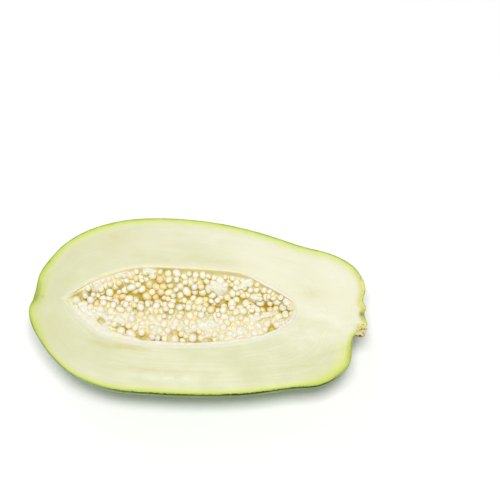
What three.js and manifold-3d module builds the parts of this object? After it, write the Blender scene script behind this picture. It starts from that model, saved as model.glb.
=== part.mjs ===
// Half of a green papaya, cut lengthwise through its seed cavity and lying on its round back, cut face up.
// Units are millimetres. +X runs along the fruit towards the stalk end, +Y across the cut face and +Z up out of it.
// The origin is at the bottom centre of the part's box, on the surface that the half lies on.
//
// Three pieces: the fruit wall (skin and flesh, grown as one), the seed bed (the white lining of the cavity with
// the young seeds that grow on it) and the corky stub of the stalk in the neck.
import * as THREE from "three";
import { mergeVertices } from "three/addons/utils/BufferGeometryUtils.js";
import Module from "manifold-3d";

const wasm = await Module();
wasm.setup();

// ---------------------------------------------------------------- driving dimensions

// The cut outline as two edges, both from the blossom dimple to the middle of the stalk end, [x, y].
// Points of the same number on the two edges face each other, and so set the fruit's cross-sections.
const FAR_EDGE = [
  [-127.4, 0], [-125.9, 9], [-124.9, 19.5], [-120, 30], [-107.5, 46.5], [-88, 60], [-60, 69.4], [-26, 73],
  [10, 71.8], [42, 66.8], [75, 58.5], [98, 54], [115, 46.5], [124, 36.5], [127, 27], [125.6, 18.3],
  [128.4, 13], [127.4, 7.6], [130.2, 0],
];
const NEAR_EDGE = [
  [-127.4, 0], [-129.6, -7], [-128, -15.5], [-122.6, -25.6], [-109, -41.8], [-90, -55.8], [-62, -64], [-28, -64.9],
  [8, -63.5], [42, -59.8], [75, -53], [96, -49.4], [110, -41.5], [117.8, -32.5], [119.4, -24], [118.6, -16],
  [119.6, -10.6], [123, -6], [130.2, 0],
];
// The mouth of the seed cavity in the cut face, from its pointed end to its round one, [x, y].
const MOUTH_FAR = [
  [-105, 3.2], [-97.5, 9.2], [-85.5, 18.8], [-68, 27.8], [-48, 33.6], [-20, 35.4], [14, 35.7], [33, 34],
  [50, 27], [64, 20.5], [73, 14.5], [75.5, 6.5],
];
const MOUTH_NEAR = [
  [-105, 3.2], [-98.5, -3], [-89, -12.8], [-73, -23.6], [-50, -27.6], [-20, -28.8], [14, -25.8], [34, -22],
  [52, -16.6], [66, -8], [73.6, -0.5], [75.5, 6.5],
];

// Depth below the cut as a share of the half width, at the blossom end and at the stalk end.
const FRUIT_DEPTH = [0.88, 1.12];
const CAVITY_DEPTH = 0.95;
const LOBES = 5; // ribs round the whole fruit, one for each row of seeds
const LOBE_HEIGHT = 0.02; // share of the radius that a rib stands out
const LOBE_TURN = 54; // degrees from the far edge of the cut to the first rib below it
const RIB_RISE = 0.7; // sine of the angle below the cut within which a rib reaches its full height
const RIBS_END = 0.86; // place along the edges where the ribs have died away
const REST_CUT = 0.8; // how much the flat spot takes off the round back

const NECK_KNOBS = 9; // knobs round the stalk end's neck
const KNOB_SHARE = 0.1; // share of the neck's radius that they stand out
const KNOB_PLACE = 0.915; // place along the edges where they are highest
const KNOB_SPAN = 0.04; // how far along the edges they spread to either side

// The stub of the stalk lies along X. The cut goes through its axis.
const STUB_START = 119.6;
const STUB_Y = -4.3;
const STUB_LENGTH = 10.2;
const STUB_RADIUS = 5.8;
const STUB_KNOBS = 5; // ridges round it
const STUB_KNOB_SHARE = 0.09; // share of its radius that they stand out
// Its outline from the buried end to the free end, as [share of the length, share of the radius].
const STUB_PROFILE = [[0, 0], [0, 0.92], [0.45, 1], [0.8, 1.04], [0.94, 0.82], [1, 0.42], [0.93, 0]];
const FIT_GAP = 0.35; // clearance between the pieces

// Widths of the white lining's rim, level with the cut, along the mouth's two edges.
const FAR_LINING = 1.9;
const NEAR_LINING = 3.4;
// The near rim is thicker by this width about a place towards the blossom end, spread along X.
const NEAR_BULGE = { width: 5.6, x: -82, spread: 20 };
const LINING_LIMIT = 0.42; // each rim takes at most this share of the mouth's half width
// Depth of the seed bed below the cut between the rims, from the near one (0) to the far one (1), [place, depth].
const BED_PROFILE = [
  [0, 0], [0.05, 3.6], [0.25, 5.6], [0.46, 9.5], [0.62, 14], [0.74, 10], [0.86, 8.5], [0.93, 6], [1, 0],
];
const BED_END = 0.07; // share of the mouth's length over which the bed rises to the cut at each end
const BED_LIMIT = 0.72; // the bed is nowhere deeper than this share of the cavity under it
const BED_OVERLAP = 2.5; // how far the bed is drawn past the mouth before it is trimmed to the cavity

// Seeds as [radius, throws]: the largest are thrown first, and each finds a place in the room that is left.
const SEED_SIZES = [[3.6, 150], [3.1, 900], [2.8, 1800], [2.4, 1900]];
const SEED_SPREAD = 0.08; // share that a radius varies by
const SEED_RISE = 0.45; // height of a seed's centre over the bed, in radii
const SEED_TOP = 0.3; // room left between a seed and the plane of the cut
const SEED_CROWDING = 0.82; // seen from above, seeds may stand this share of their summed radii apart
const SEED_MARGIN = 0.85; // a seed keeps this share of its radius clear of the rims
// The far bank is bare of seeds by this width about its middle, spread along X.
const BARE_BANK = { width: 2.4, x: 14, spread: 26 };
const TIP_SEED = { x: -94.6, y: 2.4, radius: 4.2 }; // the largest seed stands alone in the mouth's pointed end
const SEEDS_FROM = -90.5; // place along X from which the others grow
const RANDOM_START = 20;

const STATIONS = 50; // cross-sections along the fruit
const MERIDIANS = 44; // points round the whole fruit, half of which the cut leaves
const CAVITY_STATIONS = 30;
const CAVITY_MERIDIANS = 28;
const STUB_SIDES = 20;
const BED_STATIONS = 30;
const MOUTH_SAMPLES = 300;
const BIG = 400; // size of the blocks that trim the pieces

// ---------------------------------------------------------------- curves and solids

const clamp01 = (t) => Math.min(1, Math.max(0, t));
const smooth = (t) => clamp01(t) ** 2 * (3 - 2 * clamp01(t));

function edgeCurve(points) {
  const corners = points.map(([x, y]) => new THREE.Vector3(x, y, 0));
  return new THREE.CatmullRomCurve3(corners, false, "catmullrom", 0.5);
}

function solidOf(geometry) {
  const bare = geometry.clone();
  bare.deleteAttribute("normal");
  bare.deleteAttribute("uv");
  const merged = mergeVertices(bare, 1e-4);
  const vertProperties = merged.attributes.position.array;
  const triVerts = new Uint32Array(merged.index.array);
  return new wasm.Manifold(new wasm.Mesh({ numProp: 3, vertProperties, triVerts }));
}

function meshOf(name, solid, color, roughness) {
  const { vertProperties, triVerts } = solid.getMesh();
  const geometry = new THREE.BufferGeometry();
  geometry.setAttribute("position", new THREE.BufferAttribute(vertProperties, 3));
  geometry.setIndex(new THREE.BufferAttribute(triVerts, 1));
  geometry.computeVertexNormals();
  const mesh = new THREE.Mesh(geometry, new THREE.MeshStandardMaterial({ color, roughness, metalness: 0 }));
  mesh.name = name;
  return mesh;
}

// A closed body from rings of points: a single point, then rings of one length, then a single point.
function ringBody(rings) {
  const positions = rings.flat().flat();
  const sides = rings[1].length;
  const last = positions.length / 3 - 1;
  const at = (ring, side) => 1 + (ring - 1) * sides + (side % sides);
  const indices = [];
  for (let side = 0; side < sides; side++) {
    indices.push(0, at(1, side), at(1, side + 1));
    indices.push(last, at(rings.length - 2, side + 1), at(rings.length - 2, side));
    for (let ring = 1; ring < rings.length - 2; ring++) {
      indices.push(at(ring, side), at(ring + 1, side), at(ring + 1, side + 1));
      indices.push(at(ring, side), at(ring + 1, side + 1), at(ring, side + 1));
    }
  }
  const geometry = new THREE.BufferGeometry();
  geometry.setAttribute("position", new THREE.Float32BufferAttribute(positions, 3));
  geometry.setIndex(indices);
  return solidOf(geometry);
}

// A body whose cross-sections are ellipses, each between the facing points of two edges in its middle plane.
// depth holds how deep they are for their half width at its two ends, shape(angle, place) is the share by which
// a point stands out, and shrink pulls the whole skin in.
function bodyBetween(edgeA, edgeB, { stations, meridians, depth, shape = () => 1, shrink = 0 }) {
  const curveA = edgeCurve(edgeA);
  const curveB = edgeCurve(edgeB);
  const rings = [];
  for (let i = 0; i <= stations; i++) {
    const place = (1 - Math.cos((Math.PI * i) / stations)) / 2;
    const a = curveA.getPoint(place);
    const b = curveB.getPoint(place);
    const middle = a.clone().add(b).multiplyScalar(0.5);
    const half = a.clone().sub(b).multiplyScalar(0.5);
    const fullRadius = half.length();
    const radius = Math.max(fullRadius - shrink, 0);
    const direction = half.divideScalar(fullRadius || 1);
    const ring = [];
    for (let j = 0; j < (i % stations ? meridians : 1); j++) {
      const angle = (2 * Math.PI * j) / meridians;
      const across = radius * Math.cos(angle) * shape(angle, place);
      const down = radius * THREE.MathUtils.lerp(...depth, place) * Math.sin(angle) * shape(angle, place);
      ring.push([middle.x + direction.x * across, middle.y + direction.y * across, -down]);
    }
    rings.push(ring);
  }
  return ringBody(rings);
}

// A large block that fills the space up from a height.
function blockAbove(height) {
  return solidOf(new THREE.BoxGeometry(BIG, BIG, BIG).translate(0, 0, height + BIG / 2));
}

// ---------------------------------------------------------------- fruit wall

// Ribs under the cut and knobs round the neck. Both fade towards the cut, where the edges give the outline.
function skinShape(angle, place) {
  const below = Math.sin(angle);
  const ribs = LOBE_HEIGHT * Math.cos(LOBES * (angle - THREE.MathUtils.degToRad(LOBE_TURN)));
  const ribsHere = Math.sin(Math.PI * clamp01(place / RIBS_END)) * smooth(below / RIB_RISE);
  const knobs = KNOB_SHARE * Math.cos(NECK_KNOBS * angle);
  const knobsHere = Math.exp(-(((place - KNOB_PLACE) / KNOB_SPAN) ** 2)) * below ** 2;
  return 1 + ribs * ribsHere + knobs * knobsHere;
}

function cavityBody(shrink) {
  return bodyBetween(MOUTH_FAR, MOUTH_NEAR, {
    stations: CAVITY_STATIONS,
    meridians: CAVITY_MERIDIANS,
    depth: [CAVITY_DEPTH, CAVITY_DEPTH],
    shrink,
  });
}

// The fruit below the cut, with its flat spot.
function halfFruit() {
  const whole = bodyBetween(FAR_EDGE, NEAR_EDGE, {
    stations: STATIONS,
    meridians: MERIDIANS,
    depth: FRUIT_DEPTH,
    shape: skinShape,
  });
  const restHeight = whole.boundingBox().min[2] + REST_CUT;
  return whole.subtract(blockAbove(0)).subtract(blockAbove(restHeight - BIG));
}

// ---------------------------------------------------------------- stalk stub

// A short knobbly plug with a domed end, grown by gap all round.
function stubBody(gap) {
  const rings = STUB_PROFILE.map(([along, share]) => {
    const x = STUB_START - gap + along * (STUB_LENGTH + 2 * gap);
    if (share === 0) {
      return [[x, STUB_Y, 0]];
    }
    return Array.from({ length: STUB_SIDES }, (_, side) => {
      const angle = (2 * Math.PI * side) / STUB_SIDES;
      const radius = share * (STUB_RADIUS + gap) * (1 + STUB_KNOB_SHARE * Math.cos(STUB_KNOBS * angle));
      return [x, STUB_Y + radius * Math.cos(angle), -radius * Math.sin(angle)];
    });
  });
  return ringBody(rings);
}

// ---------------------------------------------------------------- seed bed

const mouthFar = edgeCurve(MOUTH_FAR).getPoints(MOUTH_SAMPLES);
const mouthNear = edgeCurve(MOUTH_NEAR).getPoints(MOUTH_SAMPLES);
const mouthStart = MOUTH_FAR[0][0];
const mouthEnd = MOUTH_FAR.at(-1)[0];

// The y of an edge of the mouth at x.
function edgeAt(samples, x) {
  const next = Math.max(1, samples.findIndex((point) => point.x >= x));
  const before = samples[next - 1];
  const share = clamp01((x - before.x) / (samples[next].x - before.x));
  return before.y + (samples[next].y - before.y) * share;
}

function bump({ width, x: middle, spread }, x) {
  return width * Math.exp(-(((x - middle) / spread) ** 2));
}

// Across the mouth at x: its two edges, and the bed between the rims of the lining.
function mouthAt(x) {
  const inside = Math.min(mouthEnd, Math.max(mouthStart, x));
  const near = edgeAt(mouthNear, inside);
  const far = Math.max(edgeAt(mouthFar, inside), near + 0.02);
  const limit = (LINING_LIMIT * (far - near)) / 2;
  const low = near + Math.min(NEAR_LINING + bump(NEAR_BULGE, x), limit);
  const high = far - Math.min(FAR_LINING, limit);
  return { near, far, low, high };
}

// The bed is level at the rims, follows its profile between them and stays above the cavity's floor.
function bedDepth(x, y) {
  const { near, far, low, high } = mouthAt(x);
  const across = (y - low) / (high - low);
  const next = BED_PROFILE.findIndex(([place]) => place > across);
  if (next < 1) {
    return 0;
  }
  const [place0, depth0] = BED_PROFILE[next - 1];
  const [place1, depth1] = BED_PROFILE[next];
  const depth = depth0 + (depth1 - depth0) * smooth((across - place0) / (place1 - place0));
  const along = clamp01((x - mouthStart) / (mouthEnd - mouthStart));
  const limit = BED_LIMIT * CAVITY_DEPTH * Math.sqrt(Math.max(0, (y - near) * (far - y)));
  return Math.min(depth, limit) * smooth(along / BED_END) * smooth((1 - along) / BED_END);
}

// The bed as a slab from its top surface down past the cavity's floor, drawn wider than the mouth.
function bedSlab() {
  const places = BED_PROFILE.flatMap(([place], i) => {
    const next = BED_PROFILE[i + 1];
    return next ? [place, (place + next[0]) / 2] : [place];
  });
  const middleX = (mouthStart + mouthEnd) / 2;
  const halfX = (mouthEnd - mouthStart) / 2 + BED_OVERLAP;
  const tops = [];
  for (let i = 0; i <= BED_STATIONS; i++) {
    const x = middleX - halfX * Math.cos((Math.PI * i) / BED_STATIONS);
    const { near, far, low, high } = mouthAt(x);
    const between = places.map((place) => low + (high - low) * place);
    for (const y of [near - BED_OVERLAP, ...between, far + BED_OVERLAP]) {
      tops.push([x, y, -bedDepth(x, y)]);
    }
  }
  return gridSlab(tops, places.length + 2, -BIG / 4);
}

// A closed slab between a grid of points, given row by row, and a level floor.
function gridSlab(tops, columns, floor) {
  const rows = tops.length / columns;
  const positions = [...tops, ...tops.map(([x, y]) => [x, y, floor])].flat();
  const indices = [];
  const quad = (a, b, c, d) => indices.push(a, b, c, a, c, d);
  const at = (row, column) => row * columns + column;
  const below = tops.length;
  for (let row = 0; row < rows - 1; row++) {
    for (let column = 0; column < columns - 1; column++) {
      const corners = [at(row, column), at(row + 1, column), at(row + 1, column + 1), at(row, column + 1)];
      quad(...corners);
      quad(...corners.reverse().map((corner) => corner + below));
    }
    const [a, b] = [at(row, 0), at(row + 1, 0)];
    quad(b, a, a + below, b + below);
    const [c, d] = [at(row, columns - 1), at(row + 1, columns - 1)];
    quad(c, d, d + below, c + below);
  }
  for (let column = 0; column < columns - 1; column++) {
    const [a, b] = [at(0, column), at(0, column + 1)];
    quad(a, b, b + below, a + below);
    const [c, d] = [at(rows - 1, column), at(rows - 1, column + 1)];
    quad(d, c, c + below, d + below);
  }
  const geometry = new THREE.BufferGeometry();
  geometry.setAttribute("position", new THREE.Float32BufferAttribute(positions, 3));
  geometry.setIndex(indices);
  return solidOf(geometry);
}

// ---------------------------------------------------------------- seeds

// Park and Miller's sequence, so that the seeds fall the same way each time.
function seededDraw(start) {
  let value = start;
  return () => {
    value = (value * 16807) % 2147483647;
    return value / 2147483647;
  };
}

// Whether a seed clears the lining's rims and the bare bank, all round.
function clearsRims(x, y, radius) {
  const reach = SEED_MARGIN * radius;
  return [0, 1, 2, 3, 4, 5, 6, 7].every((eighth) => {
    const sideX = x + reach * Math.cos((Math.PI * eighth) / 4);
    const sideY = y + reach * Math.sin((Math.PI * eighth) / 4);
    const { low, high } = mouthAt(sideX);
    return sideX > mouthStart && sideX < mouthEnd && sideY > low && sideY < high - bump(BARE_BANK, sideX);
  });
}

// Seeds as { x, y, z, radius }, thrown at the mouth and kept where they have room.
function placedSeeds() {
  const draw = seededDraw(RANDOM_START);
  const seeds = [{ ...TIP_SEED, z: -TIP_SEED.radius - SEED_TOP }];
  for (const [size, throws] of SEED_SIZES) {
    for (let i = 0; i < throws; i++) {
      const radius = size * (1 + SEED_SPREAD * (2 * draw() - 1));
      const x = mouthStart + (mouthEnd - mouthStart) * draw();
      const { low, high } = mouthAt(x);
      const y = low + (high - low) * draw();
      const crowds = (seed) => Math.hypot(seed.x - x, seed.y - y) < SEED_CROWDING * (seed.radius + radius);
      if (x > SEEDS_FROM && clearsRims(x, y, radius) && !seeds.some(crowds)) {
        const z = Math.min(SEED_RISE * radius - bedDepth(x, y), -radius - SEED_TOP);
        seeds.push({ x, y, z, radius });
      }
    }
  }
  return seeds;
}

function seedBody({ x, y, z, radius }, number) {
  const geometry = new THREE.IcosahedronGeometry(radius, 0);
  geometry.rotateX(number).rotateY(2 * number).rotateZ(3 * number);
  return solidOf(geometry.translate(x, y, z));
}

// The lining with its seeds sunk in it, trimmed to the cavity.
function seedBed() {
  const bodies = [bedSlab(), ...placedSeeds().map(seedBody)];
  return wasm.Manifold.union(bodies).intersect(cavityBody(FIT_GAP));
}

// ---------------------------------------------------------------- pieces

const wall = halfFruit().subtract(cavityBody(0)).subtract(stubBody(FIT_GAP));
const stub = stubBody(0).subtract(blockAbove(0));

const papaya = new THREE.Group();
papaya.add(meshOf("fruit", wall, "#dfe6a8", 0.5));
papaya.add(meshOf("seeds", seedBed(), "#f3ecd0", 0.35));
papaya.add(meshOf("stalk_stub", stub, "#9a7f4e", 0.85));
const box = new THREE.Box3().setFromObject(papaya);
const centre = box.getCenter(new THREE.Vector3());
papaya.position.set(-centre.x, -centre.y, -box.min.z);

export default papaya;
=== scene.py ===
"""Looks of half a green papaya: cut flesh, waxy skin, white lining, young seeds and the stub of the stalk.

Shapes are worked out in millimetres in the outline's own frame, whose cut face is at z = 0, with +X towards
the stalk end and +Y across the cut to its far side. ORIGIN, read from the frame, is where that frame lies in
the part's frame. A place along the fruit or its cavity goes from 0 at the blossom end to 1 at the stalk end.
"""

import math

import bmesh
import bpy
import numpy as np
from mathutils import Euler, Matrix, Vector, kdtree, noise


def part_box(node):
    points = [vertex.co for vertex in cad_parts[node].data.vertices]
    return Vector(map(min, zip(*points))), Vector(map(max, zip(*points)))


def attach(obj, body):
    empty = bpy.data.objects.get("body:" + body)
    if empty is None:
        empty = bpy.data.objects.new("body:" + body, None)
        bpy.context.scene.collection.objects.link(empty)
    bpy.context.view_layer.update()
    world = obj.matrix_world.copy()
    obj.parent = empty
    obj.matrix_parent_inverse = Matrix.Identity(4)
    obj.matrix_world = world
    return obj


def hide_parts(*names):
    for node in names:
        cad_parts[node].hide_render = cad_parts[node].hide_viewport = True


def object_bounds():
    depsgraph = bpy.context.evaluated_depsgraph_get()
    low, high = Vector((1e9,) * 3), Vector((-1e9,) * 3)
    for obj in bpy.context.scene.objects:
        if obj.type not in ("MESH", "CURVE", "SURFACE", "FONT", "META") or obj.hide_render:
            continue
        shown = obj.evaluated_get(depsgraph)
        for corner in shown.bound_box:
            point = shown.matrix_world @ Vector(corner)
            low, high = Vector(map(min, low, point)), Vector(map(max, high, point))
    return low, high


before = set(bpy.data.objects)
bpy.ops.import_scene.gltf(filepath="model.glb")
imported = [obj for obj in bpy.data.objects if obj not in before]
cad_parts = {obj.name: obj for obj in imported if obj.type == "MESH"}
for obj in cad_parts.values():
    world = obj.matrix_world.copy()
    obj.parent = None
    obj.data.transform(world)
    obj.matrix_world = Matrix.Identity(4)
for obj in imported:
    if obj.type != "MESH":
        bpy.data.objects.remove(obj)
cad_low, cad_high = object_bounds()
MM = 0.001

# ---- the part's driving dimensions, in mm

# The cut outline and the mouth of the cavity, from the blossom end to the stalk end. Facing points pair up.
FAR_EDGE = np.array([
    (-127.4, 0), (-125.9, 9), (-124.9, 19.5), (-120, 30), (-107.5, 46.5), (-88, 60), (-60, 69.4), (-26, 73),
    (10, 71.8), (42, 66.8), (75, 58.5), (98, 54), (115, 46.5), (124, 36.5), (127, 27), (125.6, 18.3),
    (128.4, 13), (127.4, 7.6), (130.2, 0),
])
NEAR_EDGE = np.array([
    (-127.4, 0), (-129.6, -7), (-128, -15.5), (-122.6, -25.6), (-109, -41.8), (-90, -55.8), (-62, -64),
    (-28, -64.9), (8, -63.5), (42, -59.8), (75, -53), (96, -49.4), (110, -41.5), (117.8, -32.5),
    (119.4, -24), (118.6, -16), (119.6, -10.6), (123, -6), (130.2, 0),
])
MOUTH_FAR = np.array([
    (-105, 3.2), (-97.5, 9.2), (-85.5, 18.8), (-68, 27.8), (-48, 33.6), (-20, 35.4), (14, 35.7), (33, 34),
    (50, 27), (64, 20.5), (73, 14.5), (75.5, 6.5),
])
MOUTH_NEAR = np.array([
    (-105, 3.2), (-98.5, -3), (-89, -12.8), (-73, -23.6), (-50, -27.6), (-20, -28.8), (14, -25.8), (34, -22),
    (52, -16.6), (66, -8), (73.6, -0.5), (75.5, 6.5),
])
FRUIT_DEPTH = (0.88, 1.12)  # share of the half width, at the blossom end and at the stalk end
CAVITY_DEPTH = 0.95
LOBES = 5
LOBE_HEIGHT = 0.02  # share of the half width
LOBE_TURN = math.radians(54)
RIB_RISE = 0.7  # sine of the angle under the cut at which ribs are whole
RIBS_END = 0.86  # place along the fruit
NECK_KNOBS = 9
KNOB_SHARE = 0.1
KNOB_PLACE = 0.915
KNOB_SPAN = 0.04

STUB_START = 119.6
STUB_Y = -4.3
STUB_LENGTH = 10.2
STUB_RADIUS = 5.8
STUB_KNOBS = 5
STUB_KNOB_SHARE = 0.09
STUB_PROFILE = np.array([  # shares of the stub's length and of its radius
    (0, 0), (0, 0.92), (0.45, 1), (0.8, 1.04), (0.94, 0.82), (1, 0.42), (0.93, 0),
])

FAR_LINING = 1.9  # widths of the white lining's rims along the mouth
NEAR_LINING = 3.4
NEAR_BULGE = (5.6, -82, 20)  # extra width, place along X and spread
LINING_LIMIT = 0.42  # the widest rim, as a share of the mouth's half width
MOUTH_NARROWEST = 0.02
BED_PROFILE = np.array([  # across the bed from its near edge: share of its width, and depth
    (0, 0), (0.05, 3.6), (0.25, 5.6), (0.46, 9.5), (0.62, 14), (0.74, 10), (0.86, 8.5), (0.93, 6), (1, 0),
])
BED_END = 0.07  # share of the cavity's length over which the bed runs out at its ends
BED_LIMIT = 0.72  # share of the cavity's depth that the bed takes at most

SEED_SIZES = [(3.6, 150), (3.1, 900), (2.8, 1800), (2.4, 1900)]  # radius, throws
SEED_SPREAD = 0.08  # share by which a radius varies
SEED_RISE = 0.45  # height of a seed's centre over the bed, in radii
SEED_TOP = 0.3  # a seed stays this far under the cut
SEED_CROWDING = 0.82  # share of their summed radii that two seeds stand apart at least
SEED_MARGIN = 0.85  # share of its radius that a seed keeps from the rims
BARE_BANK = (2.4, 14, 26)  # bare strip under the far rim: width, place along X and spread
TIP_SEED = (-94.6, 2.4, 4.2)  # the largest seed stands alone in the mouth's pointed end: x, y and radius
SEEDS_FROM = -90.5  # place along X from which the others grow
RANDOM_START = 20  # start of the random numbers
RANDOM_FACTOR = 16807
RANDOM_LIMIT = 2147483647

# ---- the looks' own dimensions, in mm

NEAR_LIP = 0.019  # share by which the near flank stands out just under the cut
LIP_RISE = 0.14  # sine of the angle under the cut at which the lip is whole
LIP_STARTS = (0, 0.2)  # places along the fruit between which the lip comes in, and then goes
LIP_STOPS = (1, 0.85)

FAR_BELOW = 99  # a depth below everything

# The smaller seeds that fill the gaps.
HEAP_SIZES = [(3.3, 2500), (3, 4500), (2.7, 5500), (2.3, 3500)]
HEAP_START = 7
HEAP_SQUEEZE = 0.84  # share of their summed radii that seeds in touch stand apart
HEAP_TOP = -0.3
HEAP_BARE = 0.4  # share of the bare bank that these leave bare
HEAP_THICKNESS = (8.2, 7.2)  # the heap's height over the bed, on its banks and in its trough
HEAP_DEPTHS = (9, 13)  # the bed's depths there
HEAP_WANDER = 0.35  # share by which the heap's height wanders
HEAP_WANDER_SCALE = 0.07
HEAP_FROM = -90  # place along X
PIT_FROM = 0.3  # the pits' strength from which they hold none of these seeds
HOLLOW_DEPTH = 0.75  # share of the heap's height that a hollow takes

# A seed's own form: its size along three axes, in radii.
SEED_LONG = (1, 1.18)
SEED_WIDE = (0.9, 1)
SEED_THIN = (0.88, 0.98)
LONG_EXTRA = 0.22  # some seeds are longer by this, and how many of them
LONG_SHARE = 0.22
SEED_TAPER = 0.12
SEED_LUMPS = 0.07
SEED_LUMP_SCALE = 1.3
SEED_NOISE_STEP = 7.1  # from one seed's place in the noise to the next one's
SEED_FORM_START = 3

PILE_HEIGHT = 4.5  # height over the bed where seeds are wholly white
GLASSY = (57, 66)  # places along X between which glassy seeds come in, and how many of them
GLASSY_SHARE = 0.8
SIDE_GLOW = 0.04  # a painted glow on the seeds' sides and in the gaps among them, standing in for light that comes through the seeds

# The tissue that holds the seeds: its share of their height, across the bed from the near rim.
TISSUE = np.array([
    (0, 1), (0.15, 0.95), (0.3, 0.85), (0.46, 0.55), (0.54, 0.45), (0.7, 0.45), (0.8, 0.6), (0.93, 0.4),
    (1, 0),
])
TISSUE_WAVE = (0.25, 0.14, 5)  # this and the next waves: how much, their scale, and the pattern's number
TISSUE_MOST = 1.5
TISSUE_TOP = -0.3
TISSUE_SAG = 0.5  # how far the tissue drops at a seed's side, in radii
FLAP_SAG = 0.24  # the same for the flaps over the seeds
FLAP_LIFT = 0.35
FLAP_FOLDS = (0.35, 0.5, 4)
FLAP_TOP = -0.1
FLAP_WAVE = (0.35, 0.22, 9)
FLAP_EDGE = (0.12, 0.6)  # a mark's strength at a flap's edge and where it is whole
FLAP_FROM = (0.9, 1.2)  # shares of tissue between which the flaps come in

# The bed. Its shares across go from 0 at its near edge to 1 at its far edge.
NEAR_EDGE_SOFT = 2  # distances from the mouth's edges over which its relief comes in
FAR_EDGE_SOFT = 1.2
INSIDE_FROM = 2.5  # depths from which it is lumpy, and from which pits are whole
PITS_FROM = 1.5
PIT_DEPTH = 2.4
BED_LUMPS = (0.5, 0.25, 3)
RIM_WAVE = (1.3, 0.16, 0)  # the near rim's inner edge wanders
WAVE_ACROSS = (0.3, 0.1)
RIM_DISH = 0.35  # the rims are a shallow dish
DISH_WAVE = (1, 0.35, 7)
FAR_RIM_TRIM = 0.6  # the far rim is thinner by this
TRIM_ACROSS = (0.8, 0.9)
TRIM_ALONG = (52, 37)  # places along X
FAR_FILL = 0.65  # share by which the bed is shallower at the far rim's blossom end
FILL_ACROSS = (0.7, 0.9)
FILL_ALONG = (-50, -72)
GAP_ACROSS = (0.9, 0.82)  # the amber painted shade in the gaps between seeds reaches up to the bare far bank

# Soft oval marks, as rows of x, y, half length, half width, degrees turned and strength.
FLAPS = [  # flaps of tissue over the seeds
    (13.6, 20.9, 9.5, 4.8, -20, 1), (34, 25.5, 7, 3, 40, 1), (42, 15.5, 5, 3.4, 0, 0.9),
    (55, 3, 8.5, 2.4, 22, 1), (45, -1, 5.5, 2.4, 12, 0.9), (29.5, -14.2, 7, 2.6, 8, 0.9),
    (-39.9, 30, 6, 3, 10, 0.8), (-4.9, -14.5, 6, 2.6, 0, 0.8), (8, -9, 11, 5.5, 0, 0.75),
    (-60, 25, 14, 4, 14, 0.5), (-80, 14, 8, 5, 20, 0.5), (-74.5, -10.4, 9, 5.5, -25, 0.9),
    (-88, -3, 9, 3.4, -42, 0.9), (-60, -11, 8, 3.6, -8, 0.7), (-70, 21, 26, 8, 24, 0.38),
    (66, 8, 12, 12, 0, 0.36), (-12, -1, 16, 4.5, 0, 0.36), (-84, 15, 8, 5, 25, 0.4),
]
PITS = [  # hollows along the near rim and at the mouth's two ends, amber partly as painted shade
    (-56.5, -17.2, 6.5, 2.6, -8, 1), (-41.5, -20.6, 5, 2.6, -4, 1), (-28.5, -22.3, 7.5, 1.9, -2, 1),
    (-14.5, -19.5, 5, 3.6, 0, 1), (-2, -22.3, 7, 1.6, 2, 0.9), (12, -21, 5, 1.5, 6, 0.8),
    (57.5, -8, 5, 3, 20, 1), (-74, -11.5, 4, 2, -20, 0.6), (-1.5, -17.5, 3.5, 2.4, 0, 0.8),
    (69.5, 6.5, 2.6, 4.5, 0, 0.8), (-95.5, 6.6, 4.5, 1.8, 32, 0.8),
]
HOLLOWS = [  # hollows in the heap of seeds, golden partly as painted shade
    (-63, 10, 6, 4, 0, 1), (-38, 19, 5, 3, 0, 0.9), (-33, 24, 4, 3, 0, 0.9), (-36, 12, 9, 2.5, 0, 0.8),
    (3.4, 24, 4, 3, 0, 0.7), (23, 14.5, 3.5, 3, 0, 0.9), (38, 12, 4, 3, 0, 0.7), (46.5, 22.5, 3, 4, 0, 1),
    (54, 10, 5.5, 3.5, 0, 1), (66, 5, 4, 4, 0, 0.8), (12, 8, 6, 2, 0, 0.5), (-84, 11, 2, 2, 0, 0.35),
    (-6, 16, 5, 3, 0, 0.8), (-29, 17, 4, 3, 0, 0.8),
]
STUB_HOLES = [  # dark holes in the cork's cut
    (125.6, -3.7, 0.9, 0.7, 40, 1), (124.9, -9.1, 1.3, 0.8, 5, 1), (122, -9.3, 1.2, 0.8, 0, 1),
    (127.7, -3.6, 0.6, 0.6, 0, 0.9), (123.2, -0.8, 0.7, 0.4, 30, 0.5), (127, -6.6, 0.6, 0.7, 0, 0.75),
]
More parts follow.
